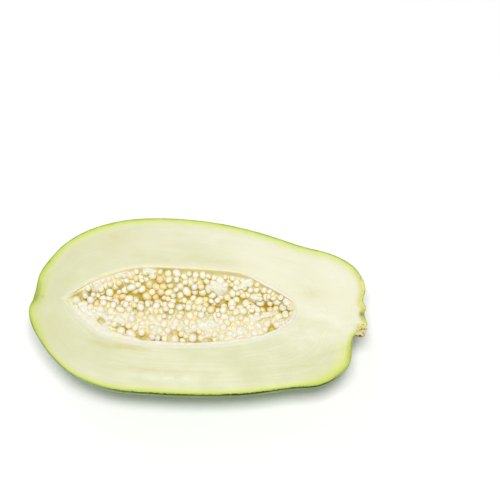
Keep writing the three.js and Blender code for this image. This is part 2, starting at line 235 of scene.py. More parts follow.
FLESH_MARKS = {  # how strongly each kind colours the cut flesh, its colour and its marks
    "olive": (0.8, (206, 202, 138), [
        (-74, -29.5, 9, 2.4, -10, 0.9), (-60, -31.5, 10, 2.2, 0, 0.9), (86, 22.5, 13, 5.5, -12, 0.35),
        (9.5, 41.8, 26, 3.2, -4, 0.5), (-33, 39.6, 20, 3, 0, 0.45), (-66.8, 50, 15, 8, 25, 0.3),
        (-100.7, 17, 7, 4, 30, 0.45), (-112, -20, 10, 16, 0, 0.3), (43, -44, 40, 1.6, 3, 0.3),
        (88, -35, 30, 1.4, 12, 0.45), (103, -24, 22, 1.6, 22, 0.4), (67.7, -15, 12, 4, 20, 0.3),
    ]),
    "brown": (0.8, (212, 192, 118), [
        (-62, -31.2, 9, 1.8, 0, 0.6), (-50, -31.2, 11, 1.7, -2, 1), (-30, -47.5, 30, 1.3, 0, 0.5),
        (5, -46.5, 24, 1, 1, 0.2), (-68, 56, 11, 4, 24, 0.3), (-24, 51.5, 14, 2.2, -4, 0.22),
        (-44, -32.4, 12, 1.2, 0, 0.8),
    ]),
    "bright": (0.8, (236, 235, 216), [
        (-24, -53.4, 30, 2.2, 1, 0.7), (92, 5, 22, 5.5, -4, 0.9), (110, -1, 14, 6, 0, 0.8),
        (0, 62, 60, 7, -3, 0.5), (100, 40, 22, 9, -30, 0.6), (55, 40, 30, 2.5, -22, 0.5),
        (116, -4, 6, 4, 0, 0.9), (82, -13, 26, 10, 8, 0.6),
    ]),
    # At the notches in the outline and at the stalk end's near corner.
    "notch": (1, (142, 146, 28), [
        (125.9, 7.6, 2.1, 2.6, 0, 1.5), (126, 11.2, 1.6, 1.4, 0, 0.4), (-127, 6, 4.5, 8, 0, 0.7),
        (-124.2, 5, 2.6, 1.2, -20, 0.8), (-120.6, 3.2, 2.2, 0.9, -10, 0.4), (119, -24, 3, 10, 0, 0.42),
        (114, -38.5, 7, 2.5, 50, 0.3),
    ]),
}

# Zones of the cut face change a value: by how much, and the places along X and then along Y between which
# they come in. EVERYWHERE stands for the whole length or width.
EVERYWHERE = (-400, -300)
GREEN_WIDTH = 4.7  # width of the green flesh inside the skin
GREEN_CURVE = 0.65
GREEN_ZONES = [  # it is wider at the blossom end and at the stalk end's near corner
    (1.4, *EVERYWHERE, 5, 25),
    (8.3, -106, -122, -100, -50),
    (7, -116, -126, -4, 2),
    (9.5, 76, 112, -12, -20),
    (-0.5, 112, 120, 0, 8),
    (0.8, -80, -40, -20, -40),
]
PAINTED_LIGHTNESS = 0.4  # how much painted light the flesh has, from 0 to 1
PAINTED_LIGHT_ZONES = [  # painted light, most on the far side of the stalk end; painted shade, most on its near side and at the blossom end
    (0.6, -20, 55, -6, 14),
    (-0.3, *EVERYWHERE, -8, -24),
    (-0.3, 15, 75, -8, -24),
    (-0.38, -88, -114, *EVERYWHERE),
]

STUB_MIDDLE = (0.4, -1.5)  # the point that the cork's surface wanders out from: share of its length, height
STUB_ROUGH = 0.14  # share by which it wanders
STUB_ROUGH_SCALE = 0.9
STUB_ROUGH_MEAN = 0.35  # mean of the turbulence
STUB_RISE = 0.3  # the cork's cut stands this much over the flesh's
STUB_SLANT = 0.28  # the end is cut back by this share of the distance towards the near side
SLANT_ALONG = (2, 7)  # distances from the stub's start between which the slant comes in
BARE_ALONG = (1.2, 3.2)  # the raised, bare cork: distances from the stub's start, and towards the near side
BARE_ACROSS = (-5.6, -3.6)
STUB_CORE = (125.8, -5.2)  # the brown cork round it is an oval, a little longer than wide
STUB_CORE_LONG = 1.1
FLESHY_ROUND = (2.6, 4.8)  # the paler cork round the brown: distances from its core, and places along X
FLESHY_ALONG = (128.5, 126.5)
KNOBS_ACROSS = (-2.8, -0.3)  # the green knobs on the far side: places along Y and along X
KNOBS_ALONG = (121.5, 125)
HOLE_DEPTH = 0.9
HOLE_EDGE = (0, 2 / 3)  # a mark's strength at a hole's edge and where it is whole
SHADED_EDGE = 0.6  # how strong the painted shade is on the cork all round just under the cut, and down to where
SHADED_EDGE_HEIGHT = 2

SKIN_THICKNESS = 0.45
WELD = 1e-5  # metres
SHARP_TURN = math.radians(50)  # edges that turn more stay sharp
FINE_STEPS = 4000  # points that measure an edge
LOOP_STEPS = 300  # stations along each edge
MOUTH_STEPS = 300
RING_STEPS = 72  # points round the back from edge to edge
HIDDEN_STEPS = 36  # the same where other pieces hide the surface
CUT_RINGS = 56  # rings of the cut face, from the mouth to the skin
RING_CROWDING = 1.4  # power by which these rings crowd towards the skin
LINING_STEPS = 160
STUB_STEPS = 60
STUB_CUT_STEPS = 40
SKIN_EDGE = 0.005  # angle under the cut that the colour of its edge reaches
BRIM_SHADE = 8  # height of the band of painted shade under the near edge of the cut
BRIM_SHADE_ACROSS = (0, -30)  # places along Y and X between which it comes in, and then goes
BRIM_SHADE_STARTS = (-110, -30)
BRIM_SHADE_STOPS = (117, 103)
HIDDEN_SHARE = 0.02  # how far the flesh is drawn in under the skin
HIDDEN_RISE = 0.1  # sine of the angle under the cut from which it is
HIDDEN_CORE = (0, 0, -20)  # the point that it is drawn in to

SKY = 0.25
FLOOR_GLOW = 0.05
FLOOR_SIZE = 6  # metres
WHITE = (1, 1, 1, 1)
SOFTBOXES = [  # name, place in metres, sides along X and across it in metres, watts
    ("key", (0.05, -0.122, 1.9), (0.5, 0.36), 27),
    ("far", (-0.5, 0.9, 1.6), (0.6, 0.6), 2),
]
CAMERA_PLACE = (57.6, -231.2, 1040.4)
CAMERA_AZIMUTH = 4.367  # degrees
CAMERA_ELEVATION = 74.72
CAMERA_LENS = 100


# ---- curves and solids


def smooth(t):
    """A smooth rise from 0 to 1 as t does the same."""
    t = np.clip(t, 0, 1)
    return t * t * (3 - 2 * t)


def fade(value, start, end):
    """0 where the value is before the start, 1 where it is past the end. The end may be the lower one."""
    return smooth((value - start) / (end - start))


def edge_points(corners, places):
    """Points on the smooth edge through the corners, at places from 0 to 1."""
    before = 2 * corners[0] - corners[1]
    after = 2 * corners[-1] - corners[-2]
    p = np.vstack([before, corners, after])
    at = np.clip(places, 0, 1) * (len(corners) - 1)
    i = np.minimum(at.astype(int), len(corners) - 2)
    t = (at - i)[:, None]
    start, end = p[i + 1], p[i + 2]
    slope0, slope1 = (end - p[i]) / 2, (p[i + 3] - start) / 2
    cubic = 2 * start - 2 * end + slope0 + slope1
    square = -3 * start + 3 * end - 2 * slope0 - slope1
    return cubic * t**3 + square * t**2 + slope0 * t + start


def even_places(edge_a, edge_b, steps):
    """Places along two facing edges that space their points evenly."""
    fine = np.linspace(0, 1, FINE_STEPS)
    lengths = 0
    for edge in (edge_a, edge_b):
        hops = np.linalg.norm(np.diff(edge_points(edge, fine), axis=0), axis=1)
        lengths = lengths + np.append(0, np.cumsum(hops))
    return np.interp(np.linspace(0, lengths[-1], steps + 1), lengths, fine)


def skin_shape(angle, place):
    """How far out the skin is, in half widths: ribs below the cut, knobs round the neck, and a near lip."""
    below = np.sin(angle)
    ribs = LOBE_HEIGHT * np.cos(LOBES * (angle - LOBE_TURN))
    ribs_here = np.sin(math.pi * np.clip(place / RIBS_END, 0, 1)) * fade(below, 0, RIB_RISE)
    knobs = KNOB_SHARE * np.cos(NECK_KNOBS * angle)
    knobs_here = np.exp(-(((place - KNOB_PLACE) / KNOB_SPAN) ** 2)) * below**2
    lip_here = fade(below, 0, LIP_RISE) * smooth(-np.cos(angle))
    lip_here = lip_here * fade(place, *LIP_STARTS) * fade(place, *LIP_STOPS)
    return 1 + ribs * ribs_here + knobs * knobs_here + NEAR_LIP * lip_here


def body_points(edge_a, edge_b, places, angles, depth, shape=None, shrink=0):
    """The half body under two facing edges, as a grid with a row for each place, from edge a to edge b."""
    a, b = edge_points(edge_a, places), edge_points(edge_b, places)
    middle, half = (a + b) / 2, (a - b) / 2
    length = np.linalg.norm(half, axis=1)
    direction = half / np.maximum(length, 1e-9)[:, None]
    radius = np.maximum(length - shrink, 0)
    angle, place = np.meshgrid(angles, places)
    out = radius[:, None] * (1 if shape is None else shape(angle, place))
    across = out * np.cos(angle)
    down = out * np.sin(angle) * np.interp(places, (0, 1), depth)[:, None]
    xy = middle[:, None, :] + direction[:, None, :] * across[:, :, None]
    return np.dstack([xy, -down])


fruit_places = even_places(FAR_EDGE, NEAR_EDGE, LOOP_STEPS)
mouth_places = even_places(MOUTH_FAR, MOUTH_NEAR, LOOP_STEPS)
half_turn = np.linspace(0, math.pi, RING_STEPS + 1)
skin_turn = np.sort(np.append(half_turn, (SKIN_EDGE, math.pi - SKIN_EDGE)))
hidden_turn = np.linspace(0, math.pi, HIDDEN_STEPS + 1)


def outline_origin():
    """Where the outline's frame lies in the part's frame, from the box of the fruit."""
    low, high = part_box("fruit")
    outline = np.vstack([edge_points(FAR_EDGE, fruit_places), edge_points(NEAR_EDGE, fruit_places)])
    middle = (outline.min(0) + outline.max(0)) / 2
    centre = (low + high) / 2 / MM
    return np.array([centre.x - middle[0], centre.y - middle[1], high.z / MM])


ORIGIN = outline_origin()


def to_part(points):
    """Points of the outline's frame, in metres of the part's frame."""
    return (np.asarray(points, float) + ORIGIN) * MM


def piece_of(name, grids, material):
    """One smooth mesh from grids, each given as (points, {attribute: values}, True to turn its faces)."""
    verts, faces, values = [], [], {}
    count = 0
    for points, attributes, turned in grids:
        rows, columns = points.shape[:2]
        index = count + np.arange(rows * columns).reshape(rows, columns)
        corners = [index[:-1, :-1], index[1:, :-1], index[1:, 1:], index[:-1, 1:]]
        quads = np.stack(corners, -1).reshape(-1, 4)
        faces.append(quads[:, ::-1] if turned else quads)
        verts.append(to_part(points.reshape(-1, 3)))
        for key, value in attributes.items():
            values.setdefault(key, []).append((count, np.asarray(value, float).ravel()))
        count += rows * columns
    mesh = bpy.data.meshes.new(name)
    mesh.from_pydata(np.vstack(verts).tolist(), [], np.vstack(faces).tolist())
    for key, parts in values.items():
        data = np.zeros(count, np.float32)
        for start, part in parts:
            data[start : start + len(part)] = part
        mesh.attributes.new(key, "FLOAT", "POINT").data.foreach_set("value", data)
    work = bmesh.new()
    work.from_mesh(mesh)
    bmesh.ops.remove_doubles(work, verts=work.verts, dist=WELD)
    bmesh.ops.recalc_face_normals(work, faces=work.faces)
    work.to_mesh(mesh)
    work.free()
    return show(name, mesh, material)


def show(name, mesh, material):
    """Puts the mesh in the scene as an object, smooth but for its sharp edges."""
    mesh.shade_smooth()
    mesh.set_sharp_from_angle(angle=SHARP_TURN)
    mesh.materials.append(material)
    piece = bpy.data.objects.new(name, mesh)
    bpy.context.scene.collection.objects.link(piece)
    return piece


def ride_as(piece, slot, *nodes):
    """The piece belongs to the part's one body, and stands for the nodes."""
    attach(piece, "root")
    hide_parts(*nodes)


# ---- materials


def screen(red, green, blue):
    """A colour given as on a screen, 0 to 255, as the linear one that a shader takes."""
    channels = [c / 255 for c in (red, green, blue)]
    return tuple(c / 12.92 if c <= 0.04045 else ((c + 0.055) / 1.055) ** 2.4 for c in channels) + (1,)


class Look:
    """A material, built by short calls. A value is a number, a colour or another node's output."""

    def __init__(self, name):
        self.material = bpy.data.materials.new(name)
        self.material.use_nodes = True
        self.tree = self.material.node_tree
        self.shader = self.tree.nodes["Principled BSDF"]
        self.base = None

    def add(self, kind, inputs, **settings):
        """A new node's outputs."""
        made = self.tree.nodes.new("ShaderNode" + kind)
        for key, value in settings.items():
            setattr(made, key, value)
        for socket, value in inputs.items():
            self.put(made.inputs[socket], value)
        return made.outputs

    def put(self, socket, value):
        if isinstance(value, bpy.types.NodeSocket):
            self.tree.links.new(value, socket)
        else:
            socket.default_value = value

    def set(self, **values):
        """Sets the shader's own sockets, named with _ for a space."""
        for key, value in values.items():
            self.put(self.shader.inputs[key.replace("_", " ")], value)

    def value(self, attribute):
        """A value that the mesh holds for each of its points."""
        return self.add("Attribute", {}, attribute_name=attribute)["Fac"]

    def place(self, scale=(1, 1, 1)):
        """The point on the surface, in metres of the part's frame, each axis scaled."""
        return self.add("Mapping", {"Vector": self.add("TexCoord", {})["Object"], "Scale": scale})["Vector"]

    def axes(self, vector):
        return self.add("SeparateXYZ", {"Vector": vector})

    def noise(self, vector, scale, detail=3, roughness=0.55):
        inputs = {"Vector": vector, "Scale": scale, "Detail": detail, "Roughness": roughness}
        return self.add("TexNoise", inputs)["Fac"]

    def math(self, operation, a, b=0):
        return self.add("Math", {0: a, 1: b}, operation=operation)[0]

    def times(self, a, b):
        return self.math("MULTIPLY", a, b)

    def fit(self, value, low, high, to_low=0, to_high=1):
        """The value taken smoothly from one range to another, and kept in it."""
        inputs = {"Value": value, "From Min": low, "From Max": high, "To Min": to_low, "To Max": to_high}
        return self.add("MapRange", inputs, interpolation_type="SMOOTHSTEP")["Result"]

    def mix(self, share, a, b, blend="MIX"):
        """A share of colour b over a. A plain colour is given as on a screen."""
        a, b = (screen(*colour) if isinstance(colour, tuple) else colour for colour in (a, b))
        return self.add("Mix", {0: share, 6: a, 7: b}, data_type="RGBA", blend_type=blend)[2]

    def paint(self, share, colour, blend="MIX"):
        """Lays a share of a colour over the base colour."""
        self.base = self.mix(share, self.base, colour, blend)

    def ramp(self, value, *stops):
        """Colours along the value from 0 to 1. Each stop is (value, red, green, blue), in rising order."""
        result = self.add("ValToRGB", {"Fac": value})["Color"]
        elements = result.node.color_ramp.elements
        for i, (place, *colour) in enumerate((stops[0], stops[-1], *stops[1:-1])):
            element = elements[i] if i < 2 else elements.new(place)
            element.position = place
            element.color = screen(*colour)
        return result

    def bump(self, height, distance, strength=1, normal=None):
        inputs = {"Height": height, "Distance": distance, "Strength": strength}
        if normal is not None:
            inputs["Normal"] = normal
        return self.add("Bump", inputs)["Normal"]


def flesh_look():
    look = Look("flesh")
    point = look.place()
    axes = look.axes(point)
    wander = look.noise(point, 70, 3)

    # Pale flesh with painted light and shade: lighter on the far side towards the stalk, darker on the near
    # side and at the blossom end, and cloudy at random.
    cloud = look.fit(look.noise(look.place((0.6, 1, 1)), 28, 3), 0.34, 0.66, -0.2, 0.2)
    light = look.math("ADD", look.value("light"), cloud)
    pale = look.mix(light, (213, 214, 171), (232, 230, 201))

    edge = look.math("ADD", look.value("green"), look.fit(wander, 0.3, 0.7, -0.05, 0.05))
    edge = look.math("POWER", look.math("MAXIMUM", edge, 0), GREEN_CURVE)
    look.base = look.mix(look.fit(edge, 0.6, 1.25), rind_colour(look, edge, axes), pale)
    # Painted highlights and shade in the cut of the neck's knobs.
    paint_neck_highlights_and_shade(look, edge, point, axes["X"])
    paint_marks(look)
    # Whiter right at the lining.
    look.paint(look.fit(look.value("to_mouth"), 1.6, 0, 0, 0.85), (232, 230, 206))

    look.set(Base_Color=look.base, Roughness=look.fit(wander, 0.3, 0.7, 0.36, 0.5), Specular_IOR_Level=0.4)
    look.set(Subsurface_Weight=0.25, Subsurface_Radius=(1, 0.9, 0.5), Subsurface_Scale=0.002)
    pores = look.noise(point, 900, 3)
    ripples = look.noise(look.place((0.25, 1, 1)), 160, 2)
    look.set(Normal=look.bump(pores, 0.0002, 0.3, look.bump(ripples, 0.0006, 0.2)))
    return look.material


def rind_colour(look, edge, axes):
    """Green under the skin: edge goes from 0 at the skin to 1 where the green ends."""
    rind = look.ramp(
        edge,
        (0, 140, 164, 24), (0.1, 166, 190, 38), (0.2, 186, 206, 56), (0.3, 199, 216, 76),
        (0.4, 208, 222, 100), (0.5, 212, 223, 122), (0.65, 217, 225, 142), (0.8, 220, 225, 158),
        (1, 221, 224, 174),
    )
    # Yellower at the stalk, greyer and darker at the blossom end as painted shade, duller on the near side.
    yellow = look.times(look.fit(axes["X"], 0.112, 0.122), 0.8)
    rind = look.mix(yellow, rind, (250, 235, 200), "MULTIPLY")
    blossom_shade = look.times(look.fit(axes["X"], -0.1, -0.122, 0, 0.45), look.fit(edge, 0.2, 0.5))
    rind = look.mix(blossom_shade, rind, (200, 205, 158))
    return look.mix(look.fit(axes["Y"], -0.02, -0.045), rind, (250, 247, 253), "MULTIPLY")


def paint_neck_highlights_and_shade(look, edge, point, along):
    """Ribs in the cut of the neck's knobs: the rind's green, with yellow painted highlights and olive painted
    shade.
    """
    ribs = look.noise(point, 330, 2)
    ribs = look.ramp(ribs, (0.36, 150, 154, 30), (0.48, 222, 226, 84), (0.64, 246, 248, 120))
    look.paint(look.times(look.fit(along, 0.119, 0.124), look.fit(edge, 0.8, 0.3, 0, 0.6)), ribs)


def paint_marks(look):
    """Grain that follows the outline, and the marks, broken up."""
    inputs = {"X": look.times(look.value("turn"), 9), "Y": look.times(look.value("across"), 26)}
    grain = look.noise(look.add("CombineXYZ", inputs)["Vector"], 1, 5)
    look.paint(look.fit(grain, 0.5, 0.72, 0, 0.3), (234, 233, 208))
    look.paint(look.fit(grain, 0.48, 0.25, 0, 0.22), (212, 208, 152))
    broken = look.fit(look.noise(look.place((1, 2.2, 1)), 110, 4), 0.25, 0.7, 0.35, 1.2)
    for key, (strength, colour, _) in FLESH_MARKS.items():
        look.paint(look.times(look.times(look.value(key), broken), strength), colour)


def skin_look():
    look = Look("skin")
    point = look.place()
    along = look.axes(point)["X"]
    mottle = look.noise(point, 26, 4, 0.6)
    flecks = look.noise(look.place((0.7, 1, 1)), 420, 3, 0.65)
    tone = look.math("ADD", look.times(mottle, 0.6), look.times(flecks, 0.4))
    look.base = look.ramp(tone, (0.34, 62, 108, 6), (0.5, 100, 150, 12), (0.66, 148, 184, 34))
    patches = look.noise(look.place((0.4, 1, 1)), 14, 3)
    look.paint(look.fit(patches, 0.55, 0.75, 0, 0.5), (158, 186, 40))
    # Yellower round the stalk.
    neck = look.fit(look.math("ADD", along, look.fit(mottle, 0.3, 0.7, -0.012, 0.012)), 0.085, 0.125)
    look.paint(look.times(neck, 0.65), (160, 170, 44))
    # A pale waxy bloom, broken up by the flecks, and dark dots.
    bloom = look.noise(look.place((0.5, 1, 1)), 22, 5, 0.65)
    bloom = look.math("ADD", bloom, look.fit(flecks, 0.35, 0.65, -0.07, 0.07))
    bloom = look.fit(bloom, 0.5, 0.66, 0, 0.55)
    look.paint(bloom, (158, 186, 132))
    cells = look.add("TexVoronoi", {"Vector": look.place((0.8, 1, 1)), "Scale": 330})["Distance"]
    dots = look.fit(cells, look.fit(mottle, 0.4, 0.6, 0.2, 0.34), 0.1)
    look.paint(look.times(dots, 0.7), (36, 72, 6))
    # Painted shade: a dull olive band under the near edge of the cut.
    brim_shade = look.times(look.value("brim_shade"), look.fit(tone, 0.36, 0.6, 1, 0.8))
    look.paint(brim_shade, (72, 76, 0))
    # The skin's own cut, darker at the fruit's two ends as painted shade.
    ends = look.fit(look.math("ABSOLUTE", along), 0.085, 0.108)
    look.paint(look.value("cut"), look.mix(ends, (176, 196, 60), (112, 130, 22)))

    # The dull band has no gloss. The plain value stays for a reader that can't follow the link.
    look.set(Specular_IOR_Level=0.35)
    look.set(Specular_IOR_Level=look.fit(brim_shade, 0, 0.6, 0.35, 0))
    look.set(Base_Color=look.base, Roughness=look.fit(bloom, 0, 0.5, 0.32, 0.6))
    pores = look.bump(look.noise(point, 700, 3), 0.0002, 0.3)
    look.set(Normal=look.bump(look.noise(look.place((0.5, 1, 1)), 90, 3), 0.0012, 0.25, pores))
    return look.material


def lining_look():
    look = Look("lining")
    bank, gap, tissue = look.value("bank"), look.value("gap"), look.value("tissue")
    point = look.place()
    along = look.axes(point)["X"]
    wander = look.noise(point, 130, 3)
    # The bed, darker with depth, partly its own colour and partly painted shade.
    look.base = bed_colour(look, point)
    # Painted shade on the far wall under the far rim.
    look.paint(look.fit(bank, 0.88, 0.95), shaded_wall_colour(look, along))

    # Tissue round the seeds, with amber painted shade and a painted glow in the gaps between them, white
    # where it lies over them.
    cream = look.mix(look.fit(wander, 0.4, 0.62), (241, 235, 214), (236, 225, 186))
    look.paint(look.fit(tissue, 0.25, 0.75), cream)
    amber = look.mix(look.fit(look.value("gold"), 0.1, 0.6), (182, 167, 44), (193, 159, 40))
    look.paint(look.fit(gap, 0.8, 4.2, 0, 0.85), amber)
    look.set(Emission_Color=amber, Emission_Strength=look.fit(gap, 0.8, 4.2, 0, SIDE_GLOW))
    folds = look.noise(look.place((1, 1.8, 1)), 210, 2)
    veil = look.mix(look.fit(folds, 0.4, 0.62), (243, 242, 225), (232, 231, 196))
    look.paint(look.fit(tissue, 0.95, 1.2), veil)
    # The pits: amber, partly their own colour and partly painted shade in the hollow, and at the blossom end
    # olive, painted shade of the pocket's far wall.
    pits = look.mix(look.fit(wander, 0.4, 0.6), (216, 198, 100), (200, 174, 64))
    pits = look.mix(look.fit(along, -0.084, -0.092), pits, (214, 210, 132))
    look.paint(look.value("pit"), pits)

    # The rims: white near, cream far and whiter towards the stalk. The pointed end is duller.
    near_rim = look.mix(look.fit(wander, 0.4, 0.66), (231, 231, 211), (235, 228, 199))
    look.paint(look.fit(bank, 0.04, -0.01), near_rim)
    far_rim = look.mix(look.fit(along, 0.02, 0.05), (240, 233, 188), (243, 233, 214))
    look.paint(look.fit(bank, 0.99, 1), far_rim)
    look.paint(look.fit(along, -0.094, -0.1), (228, 228, 186))

    look.set(Base_Color=look.base, Roughness=0.45, Specular_IOR_Level=0.3)
    look.set(Subsurface_Weight=0.15, Subsurface_Radius=(1, 0.9, 0.6), Subsurface_Scale=0.0015)
    look.set(Normal=look.bump(look.noise(point, 420, 3), 0.0004, 0.4))
    return look.material


def bed_colour(look, point):
    """The bare bed: pale on its banks, golden and darker in the deep trough, partly its own colour and partly
    painted shade, with green veins.
    """
    deep = look.math("DIVIDE", look.value("depth"), float(BED_PROFILE[:, 1].max()))
    bed = look.ramp(
        deep,
        (0, 230, 224, 176), (0.12, 230, 224, 160), (0.45, 230, 220, 148), (0.68, 212, 196, 98),
        (1, 184, 164, 52),
    )
    return look.mix(look.fit(look.noise(point, 260, 2), 0.5, 0.68, 0, 0.6), bed, (214, 210, 108))


def shaded_wall_colour(look, along):
    """The bed's far wall, with painted shade under the far rim, darkest a little on the blossom side of the
    middle.
    """
    return look.ramp(
        look.fit(along, -0.1, 0.06),
        (0, 240, 236, 208), (0.3, 228, 222, 172), (0.42, 206, 200, 132), (0.55, 226, 219, 164),
        (1, 236, 230, 182),
    )


def seed_look():
    look = Look("seeds")
    tone, gold, under = look.value("tone"), look.value("gold"), look.value("under")
    look.base = look.ramp(
        tone, (0, 250, 243, 240), (0.5, 250, 242, 229), (0.8, 247, 237, 204), (1, 244, 228, 176)
    )

    # Amber deep in the heap and golden in the hollows, partly the seeds' own colour and partly painted shade;
    # cream in the tissue; and painted shade, yellow and darker, down each seed's sides, with a painted glow
    # there.
    look.paint(look.fit(look.value("sunk"), 1.5, 7.5), look.mix(tone, (244, 230, 160), (238, 212, 112)))
    look.paint(look.fit(look.value("veiled"), 0.4, 0.9, 0, 0.6), (243, 234, 212))
    look.paint(look.fit(gold, 0.35, 0.85, 0, 0.6), (234, 200, 128))
    look.paint(look.fit(under, -0.9, -0.33, 0, 0.72), (242, 229, 150))
    side = look.mix(look.fit(gold, 0.1, 0.6), (217, 202, 64), (226, 194, 58))
    look.paint(look.fit(under, -0.55, 0), side)
    look.set(Emission_Color=side, Emission_Strength=look.fit(under, -0.6, 0.2, 0, SIDE_GLOW))

    # Glassy seeds at the stalk end, in painted light: duller in the middle, with a white ring of painted
    # highlight and an olive edge of painted shade.
    glassy_light = look.ramp(
        look.value("ring"),
        (0.1, 226, 222, 180), (0.5, 236, 232, 198), (0.72, 252, 250, 240), (0.86, 246, 238, 206),
        (0.97, 196, 178, 92),
    )
    look.paint(look.value("glass"), glassy_light)
    look.set(Base_Color=look.base, Roughness=0.35, Specular_IOR_Level=0.3)
    look.set(Subsurface_Weight=0.5, Subsurface_Radius=(1, 0.92, 0.6), Subsurface_Scale=0.002)
    return look.material


def stub_look():
    look = Look("stalk_stub")
    point = look.place()
    cork = look.noise(point, 620, 5, 0.7)
    look.base = look.ramp(cork, (0.3, 146, 120, 66), (0.48, 220, 202, 146), (0.7, 234, 224, 176))
    look.paint(look.value("fleshy"), (224, 224, 146))
    knobs = look.noise(point, 420, 2)
    knobs = look.ramp(knobs, (0.34, 152, 152, 44), (0.46, 216, 218, 104), (0.62, 232, 232, 130))
    look.paint(look.value("green"), knobs)
    # Dark holes in the cork's cut, and painted shade round its side just under the cut.
    look.paint(look.fit(look.value("hole_and_shade"), 0.3, 0.7), (58, 44, 16))
    look.set(Base_Color=look.base, Roughness=0.8, Specular_IOR_Level=0.3)
    look.set(Normal=look.bump(cork, 0.0006, 0.6))
    return look.material


# ---- fruit


def loop_of(grid):
    """The edge loop of a half body's grid: out along its first side and back along its last."""
    return np.vstack([grid[:, 0], grid[-2::-1, -1]])


def nearest(loop, points):
    """Distance in millimetres from each point to a closed loop of points."""
    fine = np.vstack([loop + (np.roll(loop, -1, 0) - loop) * share for share in (0, 0.25, 0.5, 0.75)])
    tree = kdtree.KDTree(len(fine))
    for i, point in enumerate(fine):
        tree.insert(point, i)
    tree.balance()
    return np.array([tree.find(point)[2] for point in points])


def fruit_body(angles, shrink):
    """The fruit's round back, drawn in by some millimetres, with its flat spot."""
    points = body_points(FAR_EDGE, NEAR_EDGE, fruit_places, angles, FRUIT_DEPTH, skin_shape, shrink)
    points[:, :, 2] = np.maximum(points[:, :, 2], shrink - ORIGIN[2])
    return points


def cavity_body(angles):
    return body_points(MOUTH_FAR, MOUTH_NEAR, mouth_places, angles, (CAVITY_DEPTH, CAVITY_DEPTH))


def zoned(x, y, base, zones):
    """The base value, with what each zone adds to it."""
    value = base
    for extra, start_x, end_x, start_y, end_y in zones:
        value = value + extra * fade(x, start_x, end_x) * fade(y, start_y, end_y)
    return value


def marked(x, y, marks):
    """How strongly each point lies in one of the soft oval marks, 0 to 1."""
    share = np.zeros_like(x)
    for mark_x, mark_y, long, wide, degrees, strength in marks:
        turn = math.radians(degrees)
        u = (x - mark_x) * math.cos(turn) + (y - mark_y) * math.sin(turn)
        v = (y - mark_y) * math.cos(turn) - (x - mark_x) * math.sin(turn)
        share = np.maximum(share, strength * np.exp(-((u / long) ** 2) - (v / wide) ** 2))
    return share


def make_flesh():
    outside = fruit_body(hidden_turn, SKIN_THICKNESS)
    hidden = HIDDEN_SHARE * fade(np.sin(hidden_turn), 0, HIDDEN_RISE)[None, :, None]
    outside += (np.array(HIDDEN_CORE) - outside) * hidden
    cavity = cavity_body(hidden_turn)
    mouth, rim = loop_of(cavity), loop_of(outside)
    share = (1 - np.linspace(1, 0, CUT_RINGS + 1) ** RING_CROWDING)[:, None, None]
    cut = mouth + (rim - mouth) * share
    flat = cut.reshape(-1, 3)
    x, y = flat[:, 0], flat[:, 1]
    turn, across = np.meshgrid(np.linspace(0, 1, len(rim)), share)
    values = {
        "turn": turn,
        "across": across,
        "green": nearest(rim, flat) / zoned(x, y, GREEN_WIDTH, GREEN_ZONES),
        "to_mouth": nearest(mouth, flat),
        "light": zoned(x, y, PAINTED_LIGHTNESS, PAINTED_LIGHT_ZONES),
        **{key: marked(x, y, marks) for key, (_, _, marks) in FLESH_MARKS.items()},
    }
    piece = piece_of("flesh", [(cut, values, False), (outside, {}, False), (cavity, {}, True)], flesh_look())
    ride_as(piece, "flesh", "fruit")


def make_skin():
    """A thin shell that closes along the cut, with a band of painted shade under the cut's near edge."""
    outside, inside = fruit_body(skin_turn, 0), fruit_body(skin_turn, SKIN_THICKNESS)
    rim = np.stack([loop_of(outside), loop_of(inside)])
    cut = np.ones(rim.shape[:2])
    x, y, z = outside[:, :, 0], outside[:, :, 1], outside[:, :, 2]
    brim_shade = fade(z, -BRIM_SHADE, 0) * fade(y, *BRIM_SHADE_ACROSS) * fade(x, *BRIM_SHADE_STARTS) * fade(x, *BRIM_SHADE_STOPS)
    grids = [(outside, {"brim_shade": brim_shade}, False), (inside, {}, True), (rim, {"cut": cut}, False)]
    piece = piece_of("skin", grids, skin_look())
    ride_as(piece, "skin", "fruit")


def roughen(grid):
    """Makes a grid of the stub rough, slants its end back and raises its bare cork over the cut."""
    points = grid.reshape(-1, 3)
    middle = (STUB_START + STUB_MIDDLE[0] * STUB_LENGTH, STUB_Y, STUB_MIDDLE[1])
    wander = np.array([noise.turbulence(Vector(p * STUB_ROUGH_SCALE), 3, False) for p in points])
    points += (points - middle) * (STUB_ROUGH * (wander - STUB_ROUGH_MEAN))[:, None]
    out = points[:, 0] - STUB_START
    near = STUB_Y - points[:, 1]
    bare = fade(out, *BARE_ALONG) * fade(near, *BARE_ACROSS)
    points[:, 0] -= STUB_SLANT * np.maximum(near, 0) * fade(out, *SLANT_ALONG)
    points[:, 2] = np.minimum(points[:, 2], 0) + STUB_RISE * (2 * bare - 1)


